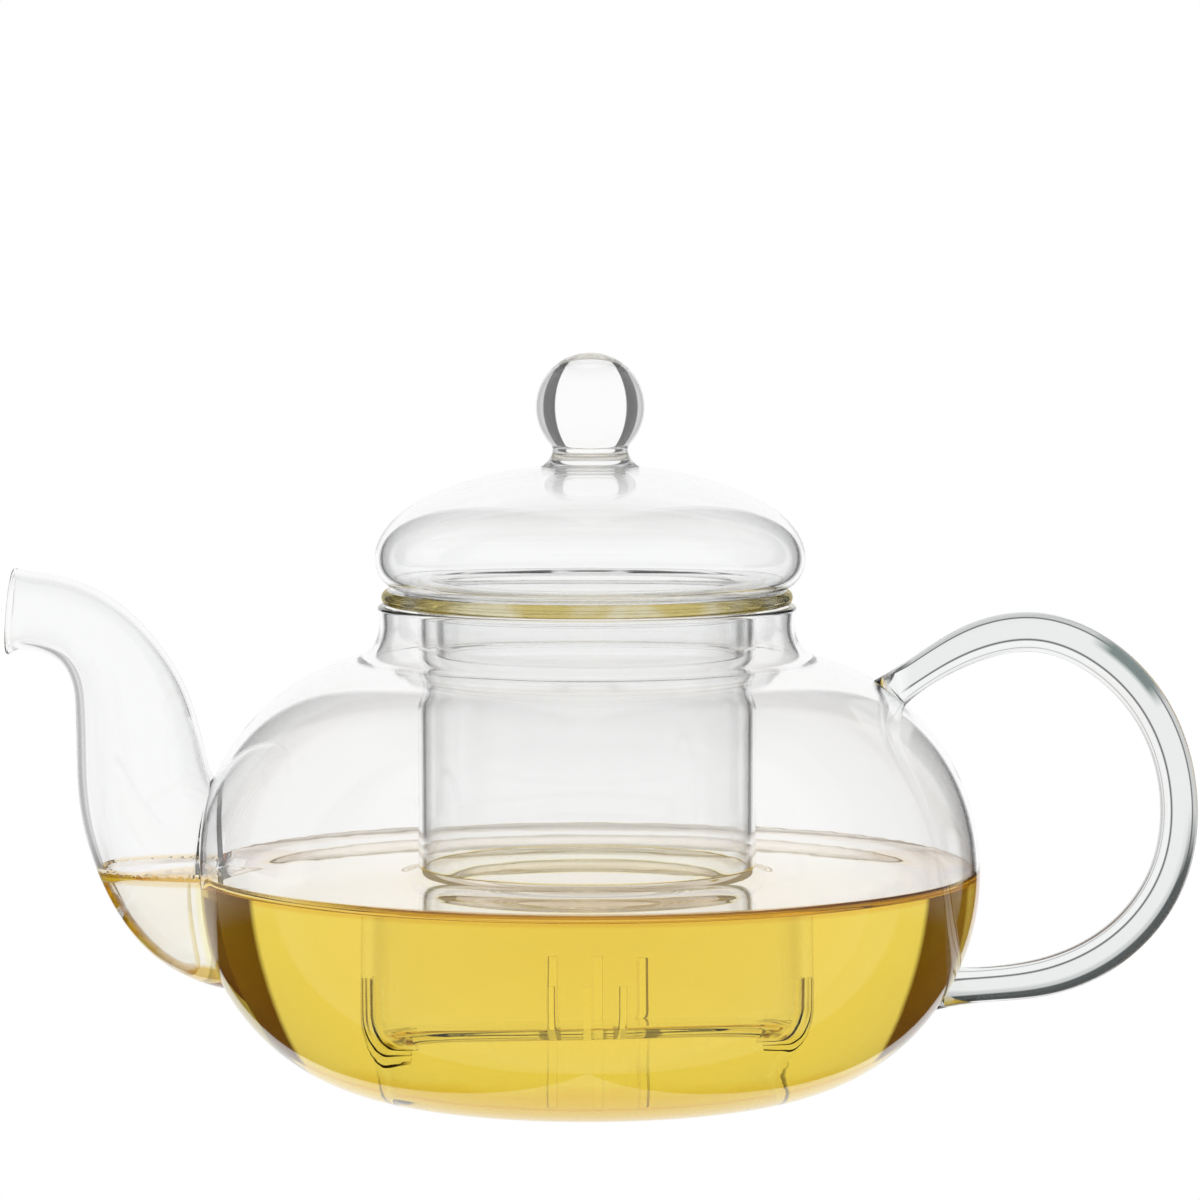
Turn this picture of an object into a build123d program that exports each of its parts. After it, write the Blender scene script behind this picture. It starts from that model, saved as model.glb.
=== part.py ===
"""Clear glass teapot: a blown pot with spout and handle, a slotted infuser, a hollow lid and a fill of tea.

Millimetres, +Z up. The origin is on the pot's axis at the table; +X runs towards the handle and -X towards
the spout. Round pieces are turned about the Z axis from a half outline drawn on the XZ plane.
"""

import os
from math import acos, degrees, sqrt

from build123d import *

# Pot body: the outer half outline is two elliptical arcs that meet at the belly, then a waisted neck
POT_WALL = 1.5
FOOT_R = 35.0
BELLY_R = 75.25
BELLY_Z = 42.4
CROWN_Z = 84.5
SHOULDER_R = 45.0
NECK_R = 39.1
NECK_Z = 88.2
RIM_R = 40.0
RIM_Z = 92.85
RIM_TOP_Z = RIM_Z + POT_WALL / 2

# Spout and handle are drawn along lines whose points hold: way out from the axis, height, half width
SPOUT_WALL = 1.5
SPOUT_SECTIONS = 32
LIP_ROUND = 0.6
SPOUT_LINE = [
    (60.0, 39.2, 20.6),
    (70.5, 40.4, 19.2),
    (79.2, 47.2, 15.8),
    (84.2, 57.0, 13.2),
    (85.8, 67.0, 12.0),
    (87.4, 75.2, 10.8),
    (90.6, 82.8, 9.0),
    (96.2, 89.0, 7.8),
    (102.9, 91.8, 7.5),
    (109.8, 92.7, 7.6),
]
HANDLE_SECTIONS = 36
HANDLE_LINE = [
    (55.0, 74.0, 4.6),
    (59.2, 77.4, 3.5),
    (63.8, 80.6, 3.2),
    (74.5, 86.4, 3.7),
    (86.0, 88.2, 3.8),
    (98.6, 83.2, 3.8),
    (108.6, 72.2, 3.7),
    (113.3, 56.5, 3.6),
    (111.3, 41.5, 3.7),
    (102.3, 29.0, 3.8),
    (88.5, 22.0, 3.7),
    (77.0, 20.4, 3.4),
    (71.0, 20.0, 3.7),
    (65.0, 19.8, 4.8),
]

# Infuser: a straight glass basket that hangs by its flange on the pot's rim
SEAT_GAP = 0.15
BASKET_R = 32.3
BASKET_WALL = 1.4
BASKET_BOTTOM_Z = 22.0
BASKET_CORNER = 3.5
PINCH_Z = 78.5
PINCH_DEPTH = 1.1
PINCH_HALF_HEIGHT = 4.5
FLANGE_R = 39.3
FLANGE_HEIGHT = 2.6
FLANGE_EDGE = 1.1
FLANGE_ROOT = 2.5
FLANGE_Z = RIM_TOP_Z + SEAT_GAP
FLANGE_TOP_Z = FLANGE_Z + FLANGE_HEIGHT

# Slits sawn inwards through the basket's corner, in four groups round it
SLIT_WIDTH = 1.2
SLIT_DEPTH = 14.0
SLIT_TOP_Z = 29.0
SLIT_PITCH_ANGLE = 10.5
SLIT_ORDER = (-1, 0, 1)
SLIT_GROUP_ANGLES = (-90.0, 0.0, 87.5, 180.0)

# Lid: a hollow blown dome with an open plug below and a solid ball on top
LID_WALL = 1.4
LID_R = 41.1
LID_SEAT_Z = FLANGE_TOP_Z + SEAT_GAP
LID_WIDE_Z = 102.5
DOME_HEIGHT = 18.0
CURL_WIDTH = 5.1
PLUG_R = 29.6
PLUG_BOTTOM_Z = 82.8
PLUG_ROUND = 1.6
BALL_R = 10.4
BALL_Z = 131.3
STUB_R = 7.4
STUB_FLARE = 2.0

# Tea: fills the pot and the spout to one level, clear of the glass and of the infuser's way up
TEA_Z = 41.0
TEA_GAP = 0.15
TEA_BORE_R = BASKET_R + 0.35
REACH = 200.0


def pot_side(inset):
    """Side line of the pot from foot to rim, moved into the glass by inset. Called inside BuildLine."""
    half_width = BELLY_R - FOOT_R - inset
    shoulder_angle = degrees(acos((SHOULDER_R - FOOT_R - inset / 2) / half_width))
    centre = (FOOT_R, BELLY_Z)
    lower = EllipticalCenterArc(centre, half_width, BELLY_Z - inset, start_angle=-90, arc_size=90)
    upper = EllipticalCenterArc(centre, half_width, CROWN_Z - BELLY_Z - inset, arc_size=shoulder_angle)
    waist = (NECK_R - inset, NECK_Z)
    rim = (RIM_R - inset, RIM_Z)
    neck = Spline(upper @ 1, waist, rim, tangents=(upper % 1, (0.1, 1)))
    return lower @ 0, neck @ 1


def pot_filled(inset):
    """The pot without its hollow, smaller all round by inset."""
    with BuildPart() as filled:
        with BuildSketch(Plane.XZ):
            with BuildLine():
                foot, rim = pot_side(inset)
                Polyline(foot, (0, inset), (0, RIM_Z), rim)
            make_face()
        revolve(axis=Axis.Z)
    return filled.part


def drawn_rod(points, side, sections, inset=0.0):
    """Round rod or horn through points of (way out, height, half width), on the +X or -X side."""
    line = Spline(*points)
    with BuildPart() as rod:
        for index in range(sections):
            share = index / (sections - 1)
            out, height, half_width = line @ share
            heading = line % share
            centre = (side * out, 0, height)
            with BuildSketch(Plane(centre, x_dir=(0, 1, 0), z_dir=(side * heading.X, 0, heading.Y))):
                Circle(half_width - inset)
        loft()
    return rod.part


def dome_line(inset):
    """Quarter of a flat oval from the lid's widest place up to its axis, moved inwards by inset."""
    across = LID_R - inset
    height = DOME_HEIGHT - inset
    knee = (across * sqrt(0.5), LID_WIDE_Z + height * sqrt(0.5))
    top = (0, LID_WIDE_Z + height)
    return Spline((across, LID_WIDE_Z), knee, top, tangents=((0, 1), (-1, 0)))


def lid_side(inset):
    """Dome, rolled edge, underside and plug of the lid, moved into the glass by inset."""
    edge_centre = (LID_R - CURL_WIDTH, LID_WIDE_Z)
    root_centre = (PLUG_R + PLUG_ROUND, LID_SEAT_Z - PLUG_ROUND)
    dome = dome_line(inset)
    edge_height = LID_WIDE_Z - LID_SEAT_Z - inset
    edge = EllipticalCenterArc(edge_centre, CURL_WIDTH - inset, edge_height, start_angle=-90, arc_size=90)
    root = CenterArc(root_centre, PLUG_ROUND + inset, start_angle=90, arc_size=90)
    Line(edge @ 0, root @ 0)
    plug = Line(root @ 1, (PLUG_R - inset, PLUG_BOTTOM_Z + LID_WALL / 2))
    return dome @ 1, plug @ 1


def make_pot_body(spout_bore):
    """Blown pot with a rounded rim and one large opening into the spout."""
    with BuildPart() as pot_body:
        with BuildSketch(Plane.XZ):
            with BuildLine():
                outer_foot, outer_rim = pot_side(0)
                inner_foot, inner_rim = pot_side(POT_WALL)
                ThreePointArc(outer_rim, (RIM_R - POT_WALL / 2, RIM_TOP_Z), inner_rim)
                Polyline(outer_foot, (0, 0), (0, POT_WALL), inner_foot)
            make_face()
        revolve(axis=Axis.Z)
        add(spout_bore, mode=Mode.SUBTRACT)
    return pot_body.part


def make_spout(spout_bore, pot_outer):
    """Open glass horn that follows the outside of the pot at its root and curls over at its lip."""
    with BuildPart() as spout:
        add(drawn_rod(SPOUT_LINE, -1, SPOUT_SECTIONS))
        add(spout_bore, mode=Mode.SUBTRACT)
        add(pot_outer, mode=Mode.SUBTRACT)
        lip = spout.faces().filter_by(GeomType.PLANE).sort_by(Axis.X)[0]
        fillet(lip.edges(), radius=LIP_ROUND)
    return spout.part


def make_handle(pot_outer):
    """Solid glass rod bent to a C, spread where it is fused to the outside of the pot."""
    with BuildPart() as handle:
        add(drawn_rod(HANDLE_LINE, 1, HANDLE_SECTIONS))
        add(pot_outer, mode=Mode.SUBTRACT)
    return handle.part


def basket_side(inset):
    """Wall of the infuser from its floor up to the flange, moved into the glass by inset."""
    radius = BASKET_R - inset
    corner_centre = (BASKET_R - BASKET_CORNER, BASKET_BOTTOM_Z + BASKET_CORNER)
    corner = CenterArc(corner_centre, BASKET_CORNER - inset, start_angle=-90, arc_size=90)
    pinch_low = (radius, PINCH_Z - PINCH_HALF_HEIGHT)
    pinch_mid = (radius - PINCH_DEPTH, PINCH_Z)
    pinch_high = (radius, PINCH_Z + PINCH_HALF_HEIGHT)
    Line(corner @ 1, pinch_low)
    Spline(pinch_low, pinch_mid, pinch_high, tangents=((0, 1), (0, 1)))
    Line((0, BASKET_BOTTOM_Z + inset), corner @ 0)
    return pinch_high


def make_infuser():
    """Glass basket with a rounded floor, a pinched ring, a thick flange and sawn slits."""
    with BuildPart() as infuser:
        with BuildSketch(Plane.XZ):
            with BuildLine():
                outer_top = basket_side(0)
                inner_top = basket_side(BASKET_WALL)
                root = RadiusArc(
                    (BASKET_R, FLANGE_Z - FLANGE_ROOT), (BASKET_R + FLANGE_ROOT, FLANGE_Z), FLANGE_ROOT
                )
                Line(outer_top, root @ 0)
                low = Line(root @ 1, (FLANGE_R - FLANGE_EDGE, FLANGE_Z))
                high = (FLANGE_R - FLANGE_EDGE, FLANGE_TOP_Z)
                ThreePointArc(low @ 1, (FLANGE_R, FLANGE_Z + FLANGE_HEIGHT / 2), high)
                mouth = (BASKET_R - BASKET_WALL + FLANGE_EDGE, FLANGE_TOP_Z)
                Line(high, mouth)
                lead_in = RadiusArc(
                    mouth, (BASKET_R - BASKET_WALL, FLANGE_TOP_Z - FLANGE_EDGE), -FLANGE_EDGE
                )
                Line(lead_in @ 1, inner_top)
                Line((0, BASKET_BOTTOM_Z), (0, BASKET_BOTTOM_Z + BASKET_WALL))
            make_face()
        revolve(axis=Axis.Z)
        with BuildSketch(Plane.XY.offset(BASKET_BOTTOM_Z)):
            for group_angle in SLIT_GROUP_ANGLES:
                for place in SLIT_ORDER:
                    angle = group_angle + place * SLIT_PITCH_ANGLE
                    with PolarLocations(BASKET_R, 1, start_angle=angle):
                        Rectangle(SLIT_DEPTH, SLIT_WIDTH)
        extrude(amount=SLIT_TOP_Z - BASKET_BOTTOM_Z, mode=Mode.SUBTRACT)
    return infuser.part


def make_lid_dome():
    """Hollow blown lid, open only at the foot of its plug."""
    with BuildPart() as lid_dome:
        with BuildSketch(Plane.XZ):
            with BuildLine():
                outer_top, outer_foot = lid_side(0)
                inner_top, inner_foot = lid_side(LID_WALL)
                ThreePointArc(outer_foot, (PLUG_R - LID_WALL / 2, PLUG_BOTTOM_Z), inner_foot)
                Line(outer_top, inner_top)
            make_face()
        revolve(axis=Axis.Z)
    return lid_dome.part


def make_lid_knob():
    """Solid glass ball on a short flared stub that sits on the dome."""
    with BuildPart() as dome_filled:
        with BuildSketch(Plane.XZ):
            with BuildLine():
                dome = dome_line(0)
                Polyline(dome @ 1, (0, LID_WIDE_Z), dome @ 0)
            make_face()
        revolve(axis=Axis.Z)

    flare_r = STUB_R + STUB_FLARE
    flare_z = LID_WIDE_Z + DOME_HEIGHT * sqrt(1 - (flare_r / LID_R) ** 2)
    neck_z = BALL_Z - sqrt(BALL_R**2 - STUB_R**2)
    with BuildPart() as lid_knob:
        with BuildSketch(Plane.XZ):
            with BuildLine():
                ball = ThreePointArc((0, BALL_Z + BALL_R), (BALL_R, BALL_Z), (STUB_R, neck_z))
                stub = Line(ball @ 1, (STUB_R, flare_z + STUB_FLARE))
                flare = RadiusArc(stub @ 1, (flare_r, flare_z), -STUB_FLARE)
                Polyline(flare @ 1, (flare_r, LID_WIDE_Z), (0, LID_WIDE_Z), ball @ 0)
            make_face()
        revolve(axis=Axis.Z)
        add(dome_filled.part, mode=Mode.SUBTRACT)
    return lid_knob.part


def make_tea():
    """Tea in the pot and spout up to one level, with a well for the infuser."""
    with BuildPart() as tea:
        add(pot_filled(POT_WALL + TEA_GAP))
        add(drawn_rod(SPOUT_LINE, -1, SPOUT_SECTIONS, SPOUT_WALL + TEA_GAP))
        split(bisect_by=Plane.XY.offset(TEA_Z), keep=Keep.BOTTOM)
        with BuildSketch(Plane.XY.offset(BASKET_BOTTOM_Z - TEA_GAP)):
            Circle(TEA_BORE_R)
        extrude(amount=REACH, mode=Mode.SUBTRACT)
    return tea.part


def write_piece(name, piece):
    """Label a finished piece and write it under its own name."""
    piece.label = name
    export_step(piece, f"parts/{name}.step")


pot_outer = pot_filled(0)
spout_bore = drawn_rod(SPOUT_LINE, -1, SPOUT_SECTIONS, SPOUT_WALL)

os.makedirs("parts", exist_ok=True)
write_piece("pot_body", make_pot_body(spout_bore))
write_piece("spout", make_spout(spout_bore, pot_outer))
write_piece("handle", make_handle(pot_outer))
write_piece("infuser", make_infuser())
write_piece("lid_dome", make_lid_dome())
write_piece("lid_knob", make_lid_knob())
write_piece("tea", make_tea())
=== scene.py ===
"""Looks of the clear glass teapot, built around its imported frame. Metres, +Z up, +X towards the handle.

Every glass piece is a closed mesh whose faces carry one of three materials: bare glass, glass that tea can
wet, and fused glass, where two pieces have melted together and light passes straight on. The wetted faces
refract with the ratio of glass to tea below the tea's contact line, so the tea needs no walls of its own.
"""

import math

import bmesh
import bpy
import numpy as np
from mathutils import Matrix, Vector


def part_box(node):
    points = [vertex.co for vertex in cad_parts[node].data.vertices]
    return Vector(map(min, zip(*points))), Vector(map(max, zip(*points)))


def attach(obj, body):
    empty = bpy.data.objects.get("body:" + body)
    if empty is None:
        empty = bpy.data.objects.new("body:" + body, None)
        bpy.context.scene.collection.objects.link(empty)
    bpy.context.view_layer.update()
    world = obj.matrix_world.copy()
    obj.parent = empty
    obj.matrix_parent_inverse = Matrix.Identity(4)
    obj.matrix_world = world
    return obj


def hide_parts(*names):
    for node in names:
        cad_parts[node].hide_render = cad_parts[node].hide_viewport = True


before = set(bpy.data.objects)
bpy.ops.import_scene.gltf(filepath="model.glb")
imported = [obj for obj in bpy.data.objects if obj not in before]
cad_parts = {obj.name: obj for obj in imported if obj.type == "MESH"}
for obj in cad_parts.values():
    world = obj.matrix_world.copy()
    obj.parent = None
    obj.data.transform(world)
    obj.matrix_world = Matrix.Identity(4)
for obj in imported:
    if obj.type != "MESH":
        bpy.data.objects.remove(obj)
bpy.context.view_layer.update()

MM = 0.001

# Pot body, measured on the frame where it can be
POT_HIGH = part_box("pot_body")[1]
BELLY_R = POT_HIGH.y
RIM_TOP = POT_HIGH.z
POT_WALL = 1.5 * MM
FOOT_R = 35.0 * MM
BELLY_Z = 42.4 * MM
CROWN_Z = 84.5 * MM
SHOULDER_R = 44.0 * MM
NECK_R = 39.9 * MM
NECK_Z = 88.2 * MM
RIM_R = 40.0 * MM
RIM_Z = RIM_TOP - POT_WALL / 2

# Lines of the spout and handle: way out from the axis, height, half width
SPOUT_WALL = 1.1 * MM
SPOUT_LINE = MM * np.array([
    (60.0, 39.2, 20.6),
    (70.5, 40.4, 19.2),
    (79.2, 47.2, 15.8),
    (84.2, 57.0, 13.2),
    (85.8, 67.0, 12.0),
    (87.4, 75.2, 10.8),
    (90.6, 82.8, 9.0),
    (96.2, 89.0, 7.8),
    (102.9, 91.8, 7.5),
    (109.8, 92.7, 7.6),
])
FLARE_SHARE = 0.03
LIP_FLARE = 0.7 * MM
LIP_DROOP = 0.4 * MM
HANDLE_LINE = MM * np.array([
    (55.0, 74.0, 4.6),
    (59.2, 77.4, 3.5),
    (63.8, 80.6, 3.2),
    (74.5, 86.4, 3.7),
    (86.0, 88.2, 3.8),
    (98.6, 83.2, 3.8),
    (108.6, 72.2, 3.7),
    (113.3, 56.5, 3.6),
    (111.3, 41.5, 3.7),
    (102.3, 29.0, 3.8),
    (88.5, 22.0, 3.7),
    (77.0, 20.4, 3.4),
    (71.0, 20.0, 3.7),
    (65.0, 19.8, 4.8),
])

# Infuser
BASKET_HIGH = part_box("infuser")[1]
FLANGE_R = BASKET_HIGH.y
FLANGE_TOP = BASKET_HIGH.z
FLANGE_HEIGHT = 2.6 * MM
FLANGE_EDGE = 1.1 * MM
FLANGE_ROOT = 2.5 * MM
BASKET_FLOOR = 22.0 * MM
BASKET_R = 32.3 * MM
BASKET_WALL = 1.4 * MM
BASKET_CORNER = 3.5 * MM
PINCH_Z = 78.5 * MM
PINCH_DEPTH = 1.1 * MM
PINCH_HALF_HEIGHT = 4.5 * MM
SLIT_WIDTH = 1.2 * MM
SLIT_DEPTH = 14.0 * MM
SLIT_TOP = 29.0 * MM
SLIT_PITCH = 10.5
SLIT_GROUPS = (-90.0, 0.0, 87.5, 180.0)
LEAN = (0.016, 0.010)
LEAN_TOP = 40.0 * MM

# Lid
DOME_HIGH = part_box("lid_dome")[1]
KNOB_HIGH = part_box("lid_knob")[1]
LID_WALL = 1.4 * MM
LID_R = DOME_HIGH.y
LID_WIDE_Z = 102.5 * MM
LID_SEAT = FLANGE_TOP + 0.15 * MM
DOME_TOP = DOME_HIGH.z
CURL_WIDTH = 5.1 * MM
PLUG_R = 29.6 * MM
PLUG_BOTTOM = 82.8 * MM
PLUG_ROUND = 1.6 * MM
LID_ASIDE = 0.6 * MM
BALL_R = KNOB_HIGH.y
BALL_Z = KNOB_HIGH.z - BALL_R
STUB_R = 7.4 * MM
STUB_FLARE = 2.0 * MM

# Tea
TEA_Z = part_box("tea")[1].z
CLIMB = 2.6 * MM
CAPILLARY = 2.7 * MM
SKIN = 0.05 * MM
JUST_BELOW_TEA = TEA_Z - 1.0 * MM
FADE_DEGREES = 3.0
SPOUT_TEA_END = 0.62
SPOUT_TEA_ROOT = -55.0 * MM
SPOUT_TEA_HALF_WIDTH = 24.0 * MM
SPOUT_TEA_FLOOR = 5.0 * MM
SPOUT_TEA_GRID = 56

# Tea: what a metre of it takes from red, green and blue, and the sheen on its surface
IOR_TEA = 1.333
TEA_ABSORPTION = (0.75, 3.0, 19.5)
SPOUT_TEA_ABSORPTION = (1.2, 2.2, 5.5)
SHEEN = 0.72
SHEEN_COLOUR = (1.0, 0.975, 0.965)

# Glass: its tints, and the tea's amber light painted on it: strips at the tea's line, a band, undersides
IOR_GLASS = 1.47
CLEAR = (0.988, 0.989, 0.989)
ROD_TINT = (0.972, 0.978, 0.975)
SAWN_TINT = (0.97, 0.965, 0.95)
SAWN_ROUGHNESS = 0.4
# Painted amber light of the tea on the glass strip that the drawn-up tea wets, on the pot and round the
# infuser; the climbing tea itself is real
TEA_LINE_LIGHT = (0.93, 0.82, 0.62)
TEA_LINE_LIGHT_LOW = TEA_Z + 0.2 * MM
TEA_LINE_LIGHT_EDGE = 0.3 * MM
BASKET_TEA_LINE_LIGHT = (0.93, 0.84, 0.46)
ROOT_SLOPE = 2.4
BAND_DARK = (0.66, 0.55, 0.22)
BAND_LIGHT = (0.78, 0.72, 0.50)
BAND_EDGE = 0.15 * MM
BAND_GRAIN = 110.0
BAND_STREAKS = (0.42, 0.62)
FLANGE_BAND = (FLANGE_TOP - FLANGE_HEIGHT - 0.4 * MM, FLANGE_TOP + 0.5 * MM, 38.2 * MM)
# Painted amber light of the tea on the glass's undersides below its level: colour, waviness of the edge, least
# downward facing
POT_PAINTED_TEA_LIGHT = ((0.93, 0.84, 0.50), 0.1, 0.74)
SPOUT_PAINTED_TEA_LIGHT = ((0.82, 0.62, 0.24), 0.9, 0.65)
TEA_LIGHT_GRAIN = 85.0
TEA_LIGHT_EDGE = 0.08

# Camera
CAMERA_AWAY = 1.124
CAMERA_HEIGHT = 0.181
CAMERA_PITCH = 4.405
CAMERA_YAW = -0.126
CAMERA_LENS = 177.0

# Studio shell: colours against the turn from the camera's axis, seen through the tea or over it
SHELL_R = 0.52
SHELL_Z = 0.07
WHITE = (1.0, 1.0, 1.0)
GREY = (0.62, 0.62, 0.62)
ROOM = (0.93, 0.93, 0.93)
FLAG_LOW = (0.11, 0.055, 0.02)
FLAG_HIGH = (0.12, 0.12, 0.12)
LOW_EDGE = (-0.25, -0.12)
DIM_EDGE = (0.75, 0.95)
DIM = 0.45
SHELL_TEA_EDGE = (-0.032, -0.022)


def flag_stops(dark, left, right):
    """Colours round the room: the white panel, a dark flag on each side of it, then grey."""
    return (
        (-180, ROOM), (-112, ROOM), (-98, GREY), (left - 2, GREY),
        (left, dark), (-28.7, dark), (-28.2, WHITE), (26.8, WHITE), (27.3, dark), (right, dark),
        (right + 2, GREY), (98, GREY), (112, ROOM), (180, ROOM),
    )


LOW_FLAGS = flag_stops(FLAG_LOW, -82, 82)
TEA_FLAGS = flag_stops(FLAG_LOW, -46.5, 45)
HIGH_FLAGS = flag_stops(FLAG_HIGH, -46.5, 45)

# What the handle sees of the room, against the turn from straight on: inwards of its loop, then outwards
PANEL = (0.87, 0.88, 0.875)
LINE = (0.10, 0.10, 0.10)
FAINT = (0.45, 0.45, 0.45)
EDGE = (0.62, 0.63, 0.63)
BACK = (0.95, 0.95, 0.95)
DEEP = (0.035, 0.045, 0.045)
HANDLE_OUTWARDS = (
    (12, PANEL), (13.5, LINE), (16, LINE), (18, BACK), (35, BACK), (37, FAINT), (39, FAINT), (41, BACK),
    (180, BACK),
)
HANDLE_THIN = (
    (-180, BACK), (-100, BACK), (-70, EDGE), (-38, EDGE), (-34.5, LINE), (-32, LINE), (-30, PANEL),
    *HANDLE_OUTWARDS,
)
HANDLE_BROAD = (
    (-180, BACK), (-120, BACK), (-100, DEEP), (-24, DEEP), (-20, EDGE), (-16, EDGE), (-10, PANEL),
    *HANDLE_OUTWARDS,
)
PATCH = (0.17, 0.22, 0.21)
SPOUT_FLAGS = (
    (-180, BACK), (-62, BACK), (-46.5, FAINT), (-28.7, FAINT), (-28.2, WHITE), (26.8, WHITE), (27.3, FAINT),
    (45, FAINT), (60, BACK), (180, BACK),
)
PATCH_ROUND = (38, 63, 4)
PATCH_TURN = (-62, -14, 5)
BROAD_RISE = (-0.02, 0.16)

# The handle and the spout as the camera sees them beside the pot, from the shell's middle
AIM = (0.0, 0.0, 0.024)
LOOP_CENTRE = (0.083, 0.0, -0.014)
LOOP_REACH = (0.024, 0.045)
ROD_WALLS = 2.0
WIDE_EDGE = (0.0765, 0.078)
OVER_EDGE = (0.060, 0.062)
ABOVE_EDGE = (0.003, 0.006)
UNDER_SLOPE = 0.85
UNDER_EDGE = (0.1045, 0.1055)
SPOUT_EDGE = (-0.0775, -0.079)

BARE, WETTABLE, FUSED = 0, 1, 2
AROUND = 288


# Curves on the half plane: way out from the axis, height

def oval(centre, across, up, start, end, count):
    """Points on an upright ellipse between two angles in degrees."""
    angles = np.radians(np.linspace(start, end, count))
    return np.stack([centre[0] + across * np.cos(angles), centre[1] + up * np.sin(angles)], axis=1)


def straight(start, end, count):
    return np.linspace(start, end, count)


class Curve:
    """Cubic spline through points, by chord length; free at its ends unless an end direction is given."""

    def __init__(self, points, start=None, end=None):
        self.points = np.array(points, float)
        steps = np.linalg.norm(np.diff(self.points, axis=0), axis=1)
        self.knots = np.concatenate([[0.0], np.cumsum(steps)])
        count = len(self.points)
        matrix = np.zeros((count, count))
        right = np.zeros_like(self.points)
        slopes = np.diff(self.points, axis=0) / steps[:, None]
        for i in range(1, count - 1):
            matrix[i, i - 1] = steps[i]
            matrix[i, i] = 2 * (steps[i - 1] + steps[i])
            matrix[i, i + 1] = steps[i - 1]
            right[i] = 3 * (steps[i] * slopes[i - 1] + steps[i - 1] * slopes[i])
        for row, near, given, slope in ((0, 1, start, slopes[0]), (count - 1, count - 2, end, slopes[-1])):
            matrix[row, row] = 1.0
            if given is None:
                matrix[row, near] = 0.5
                right[row] = 1.5 * slope
            else:
                right[row] = np.array(given) / np.linalg.norm(given)
        self.slopes = np.linalg.solve(matrix, right)

    def at(self, shares):
        """Points and directions at shares from 0 to 1 of the whole chord length."""
        where = np.clip(np.asarray(shares, float), 0, 1) * self.knots[-1]
        i = np.clip(np.searchsorted(self.knots, where, side="right") - 1, 0, len(self.knots) - 2)
        step = (self.knots[i + 1] - self.knots[i])[..., None]
        t = (where - self.knots[i])[..., None] / step
        p0, p1 = self.points[i], self.points[i + 1]
        m0, m1 = self.slopes[i] * step, self.slopes[i + 1] * step
        place = (2 * t**3 - 3 * t**2 + 1) * p0 + (t**3 - 2 * t**2 + t) * m0
        place = place + (3 * t**2 - 2 * t**3) * p1 + (t**3 - t**2) * m1
        heading = (6 * t**2 - 6 * t) * (p0 - p1) + (3 * t**2 - 4 * t + 1) * m0 + (3 * t**2 - 2 * t) * m1
        return place, heading / step


def joined(*stretches):
    """One outline from stretches of (points, material), as points and the material of each step."""
    points, slots = [stretches[0][0][0]], []
    for stretch, slot in stretches:
        for point in stretch:
            if np.linalg.norm(point - points[-1]) > 1e-7:
                points.append(point)
                slots.append(slot)
    return np.array(points), slots


def pot_side(inset):
    """Side of the pot from foot to rim, moved into the glass by inset."""
    across = BELLY_R - FOOT_R - inset
    up = CROWN_Z - BELLY_Z - inset
    shoulder = math.degrees(math.acos((SHOULDER_R - FOOT_R - inset / 2) / across))
    lower = oval((FOOT_R, BELLY_Z), across, BELLY_Z - inset, -90, 0, 90)
    upper = oval((FOOT_R, BELLY_Z), across, up, 0, shoulder, 90)
    heading = upper[-1] - upper[-2]
    neck = Curve([upper[-1], (NECK_R - inset, NECK_Z), (RIM_R - inset, RIM_Z)], heading, (0.1, 1.0))
    return np.concatenate([lower, upper[1:], neck.at(np.linspace(0, 1, 40))[0][1:]])


POT_OUTER = pot_side(0.0)
POT_INNER = pot_side(POT_WALL)


def beyond(points, side):
    """How far points (x, y, z) stand outside a side line of the pot, level by level."""
    wall = np.interp(points[..., 2], side[:, 1], side[:, 0])
    return np.hypot(points[..., 0], points[..., 1]) - wall


# Meshes

def new_object(name, vertices, faces, slots, materials):
    mesh = bpy.data.meshes.new(name)
    mesh.from_pydata([tuple(v) for v in vertices], [], faces)
    for material in materials:
        mesh.materials.append(material)
    mesh.polygons.foreach_set("material_index", slots)
    piece = bpy.data.objects.new(name, mesh)
    bpy.context.scene.collection.objects.link(piece)
    point_outwards(mesh)
    return piece


def point_outwards(mesh):
    shape = bmesh.new()
    shape.from_mesh(mesh)
    bmesh.ops.recalc_face_normals(shape, faces=shape.faces)
    shape.to_mesh(mesh)
    shape.free()
    mesh.shade_smooth()


def lathe(name, outline, slots, materials, around=AROUND, shift=None):
    """Turns an outline that runs from axis to axis into a closed mesh. shift may move the rings' points."""
    angles = np.arange(around) * 2 * math.pi / around
    vertices, rings = [], []
    for index, (radius, height) in enumerate(outline):
        if radius < 1e-6:
            rings.append([len(vertices)])
            tip = np.array([[0.0, 0.0, height]])
            vertices.extend(tip if shift is None else shift(index, angles[:1], tip))
            continue
        ring = np.stack([radius * np.cos(angles), radius * np.sin(angles), np.full(around, height)], axis=1)
        if shift is not None:
            ring = shift(index, angles, ring)
        rings.append(list(range(len(vertices), len(vertices) + around)))
        vertices.extend(ring)
    faces, marks = skin(rings, slots, around)
    return new_object(name, vertices, faces, marks, materials)


def skin(rings, slots, around):
    """Faces between neighbouring rings of vertices, where a ring may be a single point."""
    faces, marks = [], []
    for low, high, slot in zip(rings[:-1], rings[1:], slots):
        for i in range(around):
            j = (i + 1) % around
            if len(low) == 1:
                face = (low[0], high[j], high[i])
            elif len(high) == 1:
                face = (low[i], low[j], high[0])
            else:
                face = (low[i], low[j], high[j], high[i])
            faces.append(face)
            marks.append(slot)
    return faces, marks


def closed_tube(name, rings, slots, materials):
    """Closed mesh from rings of points in order, with a flat fan at each end."""
    around = len(rings[0])
    vertices = [rings[0].mean(axis=0)]
    index = [[0]]
    for ring in rings:
        index.append(list(range(len(vertices), len(vertices) + around)))
        vertices.extend(ring)
    index.append([len(vertices)])
    vertices.append(rings[-1].mean(axis=0))
    faces, marks = skin(index, slots, around)
    return new_object(name, vertices, faces, marks, materials)


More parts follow.
